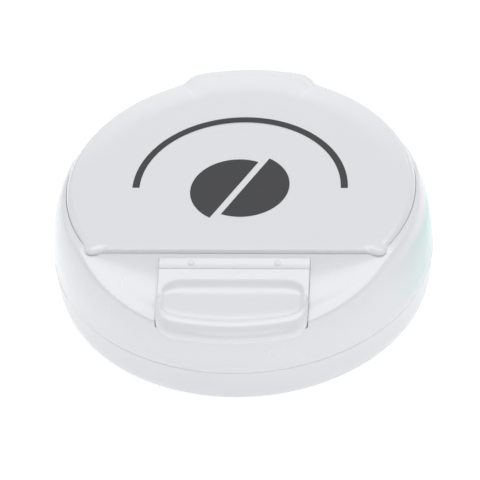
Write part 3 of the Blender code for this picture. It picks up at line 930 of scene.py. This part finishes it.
def block(low, high, round_corners=0.0):
    bm = bmesh.new()
    bmesh.ops.create_cube(bm, size=1)
    low, high = Vector(low), Vector(high)
    bmesh.ops.scale(bm, vec=high - low, verts=bm.verts)
    bmesh.ops.translate(bm, vec=(low + high) / 2, verts=bm.verts)
    if round_corners:
        upright = [e for e in bm.edges if abs(e.verts[0].co.z - e.verts[1].co.z) > 0.01]
        bmesh.ops.bevel(
            bm,
            geom=upright,
            offset=round_corners,
            offset_type="OFFSET",
            segments=6,
            profile=0.5,
            affect="EDGES",
            material=-1,
        )
    return bm


def on_slope(bm):
    lay = Matrix.Translation((0, CHORD_Y, SLOPE_TOP_Z)) @ Matrix.Rotation(SLOPE, 4, "X")
    bmesh.ops.transform(bm, matrix=lay, verts=bm.verts)
    return bm


def hinge_rod(radius, half, segments=96):
    bm = bmesh.new()
    lay = Matrix.Translation(hinge) @ Matrix.Rotation(math.pi / 2, 4, "Y")
    bmesh.ops.create_cone(
        bm,
        cap_ends=True,
        segments=segments,
        radius1=radius,
        radius2=radius,
        depth=2 * half,
        matrix=lay,
    )
    return bm


def carve(target, cutters):
    """Cuts target with each cutter, keeps the result as its mesh, and removes the cutters."""
    for tool in cutters:
        modifier = target.modifiers.new("carve", "BOOLEAN")
        modifier.operation = "DIFFERENCE"
        modifier.solver = "EXACT"
        modifier.object = tool
    graph = bpy.context.evaluated_depsgraph_get()
    carved = bpy.data.meshes.new_from_object(target.evaluated_get(graph))
    target.modifiers.clear()
    target.data = carved
    for tool in cutters:
        bpy.data.objects.remove(tool)


def run(y):
    """Distance down the slope from its top edge to the point on it that has this y."""
    return (y - CHORD_Y) / math.cos(SLOPE)


POCKET_HALF = flap_high.x + fit
POCKET_DEPTH = 1.0
pocket_rear = run(strip_high.y + fit)
pocket = on_slope(block((-POCKET_HALF, -24, -POCKET_DEPTH), (POCKET_HALF, pocket_rear, 9)))
port = block((-9.0, -31.2, 12), (9.0, -22.0, 24), 1.5)
BARREL_ROOM_R = 3.6
BULGE_ROOM_R = 6.4
BULGE_ROOM_Y = hinge.y - 1.6
barrel_room = hinge_rod(BARREL_ROOM_R, KNUCKLE_END + EAR_GAP)
bulge_room = hinge_rod(BULGE_ROOM_R, BULGE_HALF + EAR_GAP)
bmesh.ops.bisect_plane(
    bulge_room,
    geom=bulge_room.verts[:] + bulge_room.edges[:] + bulge_room.faces[:],
    plane_co=(0, BULGE_ROOM_Y, 0),
    plane_no=(0, -1, 0),
    clear_outer=True,
)
open_edges = [e for e in bulge_room.edges if e.is_boundary]
bmesh.ops.holes_fill(bulge_room, edges=open_edges)
carve(body, [cutter(pocket), cutter(port), cutter(barrel_room), cutter(bulge_room)])
print("body:", len(body.data.polygons), "faces after carving")

# %% [markdown]
# ## Webs of the ears
# Each ear stands on a web that reaches forward into the body. A web is a small block whose rear end
# is hidden in its ear.

# %% Webs
WEB_LENGTH = 4.2
WEB_UNDER = 1.2
WEB_OVER = 0.8
WEB_INSET = 0.1
for name, left, right in (("left", -EAR_OUT, -EAR_IN), ("right", EAR_IN, EAR_OUT)):
    low = (left + WEB_INSET, hinge.y - WEB_LENGTH, hinge.z - WEB_UNDER)
    high = (right - WEB_INSET, hinge.y - BORE_R - 0.2, hinge.z + WEB_OVER)
    web = block(low, high)
    piece(f"ear_web_{name}", web, "root", body_plastic)

# %% [markdown]
# ## The base cup
# The base is a plain turned cup, so one half of its section is drawn as points and spun a full turn.
# The outer wall swells very slightly and rounds under to the flat that it stands on.


# %% Base cup
CUP_R = 31.4
CUP_FLOOR_Z = 1.5
CUP_CORNER = 1.2
SPIGOT_R = 32.8
SOFT = 0.2
FOOT_R = 32.4
FOOT_OUT = 2.3
FOOT_HIGH = 4.8


def base_section():
    """The half section, from the middle of the cup's floor round to the middle of its foot."""
    middle = CUP_R - CUP_CORNER
    points = [(0.0, CUP_FLOOR_Z), (middle, CUP_FLOOR_Z)]
    for step in range(1, 7):
        lean = step / 6 * math.pi / 2
        z = CUP_FLOOR_Z + CUP_CORNER * (1 - math.cos(lean))
        points.append((middle + CUP_CORNER * math.sin(lean), z))
    top = base_high.z
    points += [(CUP_R, top - SOFT), (CUP_R + SOFT, top), (SPIGOT_R - SOFT, top)]
    ledge = seam_z - gap + 0.05
    points += [(SPIGOT_R, top - SOFT), (SPIGOT_R, ledge), (base_high.x - SOFT, ledge)]
    points.append((base_high.x, ledge - SOFT))
    for step in range(1, 13):
        lean = step / 12 * math.pi / 2
        out = FOOT_R + FOOT_OUT * math.cos(lean) ** 0.8
        points.append((out, FOOT_HIGH * (1 - math.sin(lean) ** 1.1)))
    points.append((0.0, 0.0))
    return points


base_bm = bmesh.new()
base_points = [base_bm.verts.new((r, 0, z)) for r, z in base_section()]
base_edges = [base_bm.edges.new(pair) for pair in zip(base_points, base_points[1:])]
bmesh.ops.spin(
    base_bm,
    geom=base_points + base_edges,
    cent=(0, 0, 0),
    axis=(0, 0, 1),
    angle=2 * math.pi,
    steps=256,
    use_merge=True,
)
bmesh.ops.remove_doubles(base_bm, verts=base_bm.verts, dist=0.0005)
bmesh.ops.recalc_face_normals(base_bm, faces=base_bm.faces)
piece("base_moulding", base_bm, "root", base_plastic, ["base_cup"])

# %% [markdown]
# ## The flap
# The flap follows the slope for a short way, dips into a wide hollow for the thumb, and rises to a
# thick rounded lip that follows the wall. It is a fine grid whose points are laid on that line and
# rolled over at the rims. A second grid makes the underside, and the two rims are bridged.

# %% Flap sizes
FLAP_HALF = flap_high.x
FLAP_REAR = flap_hinge.y - 0.03
FLAP_R = -flap_low.y
FLAP_CORNER = 3.0
LIP_LOW_Z = flap_low.z
LIP_ROLL = 1.9
LIP_BAND = 2.7
CREST_Z = 18.4
SIDE_ROLL = 0.2
DISH_REAR = -22.8
DISH_HALF = 13.2
DISH_CORNER = 3.8
DISH_DEPTH = 0.85


def flap_front(x):
    """Where the lip ends at this x, with its two corners rounded."""
    corner_x = FLAP_HALF - FLAP_CORNER
    out = abs(x)
    front = -math.sqrt(FLAP_R**2 - min(out, corner_x) ** 2)
    if out > corner_x:
        side = out - corner_x
        front += FLAP_CORNER - math.sqrt(max(0.0, FLAP_CORNER**2 - side**2)) + side * 0.3
    return front


def roll(distance, width):
    """1 on the plate, falling in a quarter circle to 0 at the rim."""
    share = min(1.0, max(0.0, distance / width))
    return math.sqrt(max(0.0, 1 - (1 - share) ** 2))


def dish_ends(x):
    """The dish's rear and front edges at this x, drawn together at its rounded corners."""
    out = max(0.0, abs(x) - DISH_HALF + DISH_CORNER)
    corner = DISH_CORNER - math.sqrt(max(0.0, DISH_CORNER**2 - min(out, DISH_CORNER) ** 2))
    return DISH_REAR - corner, flap_front(x) + LIP_BAND + 0.4 * corner


def flap_top(x, y):
    """Down the slope from the hinge, across the hollow of the dish, up to the crest of the lip."""
    rear, front = dish_ends(x)
    share = min(1.0, max(0.0, (rear - y) / max(0.5, rear - front)))
    start = slope_z(max(y, rear))
    hollow = (1 - (2 * share - 1) ** 4) * (1 - ease(abs(x), DISH_HALF - 1.6, DISH_HALF + 0.2))
    plate = start + (CREST_Z - start) * share - DISH_DEPTH * hollow
    plate -= max(0.0, front - y) * 0.16
    low = LIP_LOW_Z + 1.2
    z = low + (plate - low) * roll(y - flap_front(x), LIP_ROLL)
    return z - SIDE_ROLL * (1 - roll(FLAP_HALF - abs(x), SIDE_ROLL))


def flap_under(x, y):
    under = max(slope_z(y) - 0.775, LIP_LOW_Z)
    near_front = 1 - roll(y - flap_front(x), 0.9)
    return under + 0.5 * near_front


# %% Flap mesh
def flap_grid(bm, height):
    columns, rows = 72, 72
    made = bmesh.ops.create_grid(bm, x_segments=columns, y_segments=rows, size=1.0)["verts"]
    for v in made:
        x = FLAP_HALF * math.sin(v.co.x * math.pi / 2)
        share = (1 - v.co.y) / 2
        y = FLAP_REAR + (flap_front(x) - FLAP_REAR) * math.sin(share * math.pi / 2)
        v.co = Vector((x, y, height(x, y)))
    return made


flap_bm = bmesh.new()
flap_grid(flap_bm, flap_top)
top_rim = [e for e in flap_bm.edges if e.is_boundary]
flap_grid(flap_bm, flap_under)
under_rim = [e for e in flap_bm.edges if e.is_boundary and e not in set(top_rim)]
bmesh.ops.bridge_loops(flap_bm, edges=top_rim + under_rim)
bmesh.ops.recalc_face_normals(flap_bm, faces=flap_bm.faces)
piece("flap_moulding", flap_bm, "flap", flap_plastic, ["flap"])

# %% [markdown]
# ## Hinge strip and stakes
# The strip that the flap bends from is a small plate sunk flush in the slope. Two plastic stakes
# hold it, and each ends in a low round head, made from a sphere that is pressed flat.


# %% Strip and stakes
def bevelled(bm, width, segments=3):
    bmesh.ops.bevel(
        bm,
        geom=bm.edges[:],
        offset=width,
        offset_type="OFFSET",
        segments=segments,
        profile=0.5,
        affect="EDGES",
        material=-1,
    )
    return bm


strip_rear = run(strip_high.y)
strip_front = run(flap_hinge.y + 0.03)
strip = block((-FLAP_HALF, strip_front, -0.8), (FLAP_HALF, strip_rear, 0))
piece(
    "hinge_strip_moulding",
    on_slope(bevelled(strip, 0.12)),
    "root",
    flap_plastic,
    ["flap_hinge_strip"],
)

STAKE_X = 7.7
STAKE_R = 0.6
for side, name in ((-1, "left"), (1, "right")):
    head = bmesh.new()
    bmesh.ops.create_uvsphere(head, u_segments=32, v_segments=16, radius=STAKE_R)
    bmesh.ops.scale(head, vec=(1, 1, 0.25), verts=head.verts)
    middle = (strip_front + strip_rear) / 2
    bmesh.ops.translate(head, vec=(side * STAKE_X, middle, 0.0), verts=head.verts)
    node = f"flap_stake_{name}"
    piece(f"stake_head_{name}", on_slope(head), "root", flap_plastic, [node])

# %% [markdown]
# ## Print on the lid
# The lid carries a plain emblem in black: a tablet halved by its score line, under an arc. Ink is a
# film with a thickness, so each mark is a thin plate that follows the slope of the lid. A disc comes
# from `create_circle`, the score is cut with `bisect_plane`, and the arc is a spun strip.

# %% Print
INK = 0.03
EMBLEM = Vector((0.0, -0.5, 0.0))
TABLET_R = 8.6
SCORE = 1.3
ARC_R = 19.0
ARC_WIDTH = 1.3


def lay_ink(name, bm):
    """Gives a flat outline the thickness of the ink and lays it on the lid."""
    bmesh.ops.recalc_face_normals(bm, faces=bm.faces)
    grown = bmesh.ops.extrude_face_region(bm, geom=bm.faces[:])["geom"]
    raised = set(v for v in grown if isinstance(v, bmesh.types.BMVert))
    for v in bm.verts:
        v.co.z = lid_plane(v.co.y) + (INK if v in raised else -INK)
    bmesh.ops.recalc_face_normals(bm, faces=bm.faces)
    return piece(name, bm, "lid", ink)


for side, name in ((-1, "print_half_left"), (1, "print_half_right")):
    half = bmesh.new()
    bmesh.ops.create_circle(half, cap_ends=True, segments=96, radius=TABLET_R)
    bmesh.ops.bisect_plane(
        half,
        geom=half.verts[:] + half.edges[:] + half.faces[:],
        plane_co=(side * SCORE / 2, 0, 0),
        plane_no=(-side, 0, 0),
        clear_outer=True,
    )
    lean = Matrix.Rotation(math.radians(-28), 4, "Z") @ Matrix.Translation((0, side * 0.9, 0))
    bmesh.ops.transform(half, matrix=Matrix.Translation(EMBLEM) @ lean, verts=half.verts)
    lay_ink(name, half)

arc = bmesh.new()
ends = [arc.verts.new((ARC_R + out, 0, 0)) for out in (-ARC_WIDTH / 2, ARC_WIDTH / 2)]
bmesh.ops.spin(
    arc,
    geom=[*ends, arc.edges.new(ends)],
    cent=(0, 0, 0),
    axis=(0, 0, 1),
    angle=math.pi,
    steps=90,
)
bmesh.ops.translate(arc, vec=EMBLEM, verts=arc.verts)
lay_ink("print_arc", arc)

# %% [markdown]
# ## Inside
# The cutter lives under the lid: a deck, the V that centres a tablet, two grips, a mat and the blade
# in its holder. Their working shapes are right, but every edge is a perfect knife. Real moulded and
# stamped edges are broken, so each piece is copied, its loose triangles are merged back into whole
# faces, and a small bevel is run along what is left. Where a step is too small for the bevel, it
# leaves points on top of one another, and a weld joins them.


# %% Soften a working piece
def softened(node, name, body, finish, slot, width):
    bm = bmesh.new()
    bm.from_mesh(frame["nodes"][node].data)
    bmesh.ops.remove_doubles(bm, verts=bm.verts, dist=0.00001)
    bmesh.ops.dissolve_limit(bm, angle_limit=math.radians(1), verts=bm.verts, edges=bm.edges)
    bmesh.ops.scale(bm, vec=(1 / MM,) * 3, verts=bm.verts)
    made = piece(name, bm, body, finish, [node], sharp=30)
    bevel = made.modifiers.new("broken_edges", "BEVEL")
    bevel.width = width * MM
    bevel.segments = 2
    bevel.limit_method = "ANGLE"
    bevel.angle_limit = math.radians(40)
    bevel.harden_normals = True
    weld = made.modifiers.new("joined_points", "WELD")
    weld.merge_threshold = 0.001 * MM
    return made


INSIDE = [
    ("cutter_deck", "deck_plate", "root", insert_teal, "insert_plastic", 0.2),
    ("pill_seat", "seat_moulding", "root", insert_teal, "insert_plastic", 0.1),
    ("grip_pad_left", "grip_left", "root", rubber, "grip_rubber", 0.15),
    ("grip_pad_right", "grip_right", "root", rubber, "grip_rubber", 0.15),
    ("cutting_mat", "mat_strip", "root", rubber, "grip_rubber", 0.1),
    ("hinge_pin", "pin_rod", "root", steel, "blade_steel", 0.15),
    ("lid_liner", "liner_plate", "lid", lid_plastic, "white_plastic", 0.15),
    ("blade", "blade_plate", "lid", steel, "blade_steel", 0.02),
    ("blade_holder", "holder_right", "lid", insert_teal, "insert_plastic", 0.15),
    ("blade_clamp", "holder_left", "lid", insert_teal, "insert_plastic", 0.15),
    ("blade_rivet_front", "rivet_front", "lid", steel, "blade_steel", 0.1),
    ("blade_rivet_rear", "rivet_rear", "lid", steel, "blade_steel", 0.1),
]
for row in INSIDE:
    softened(*row)
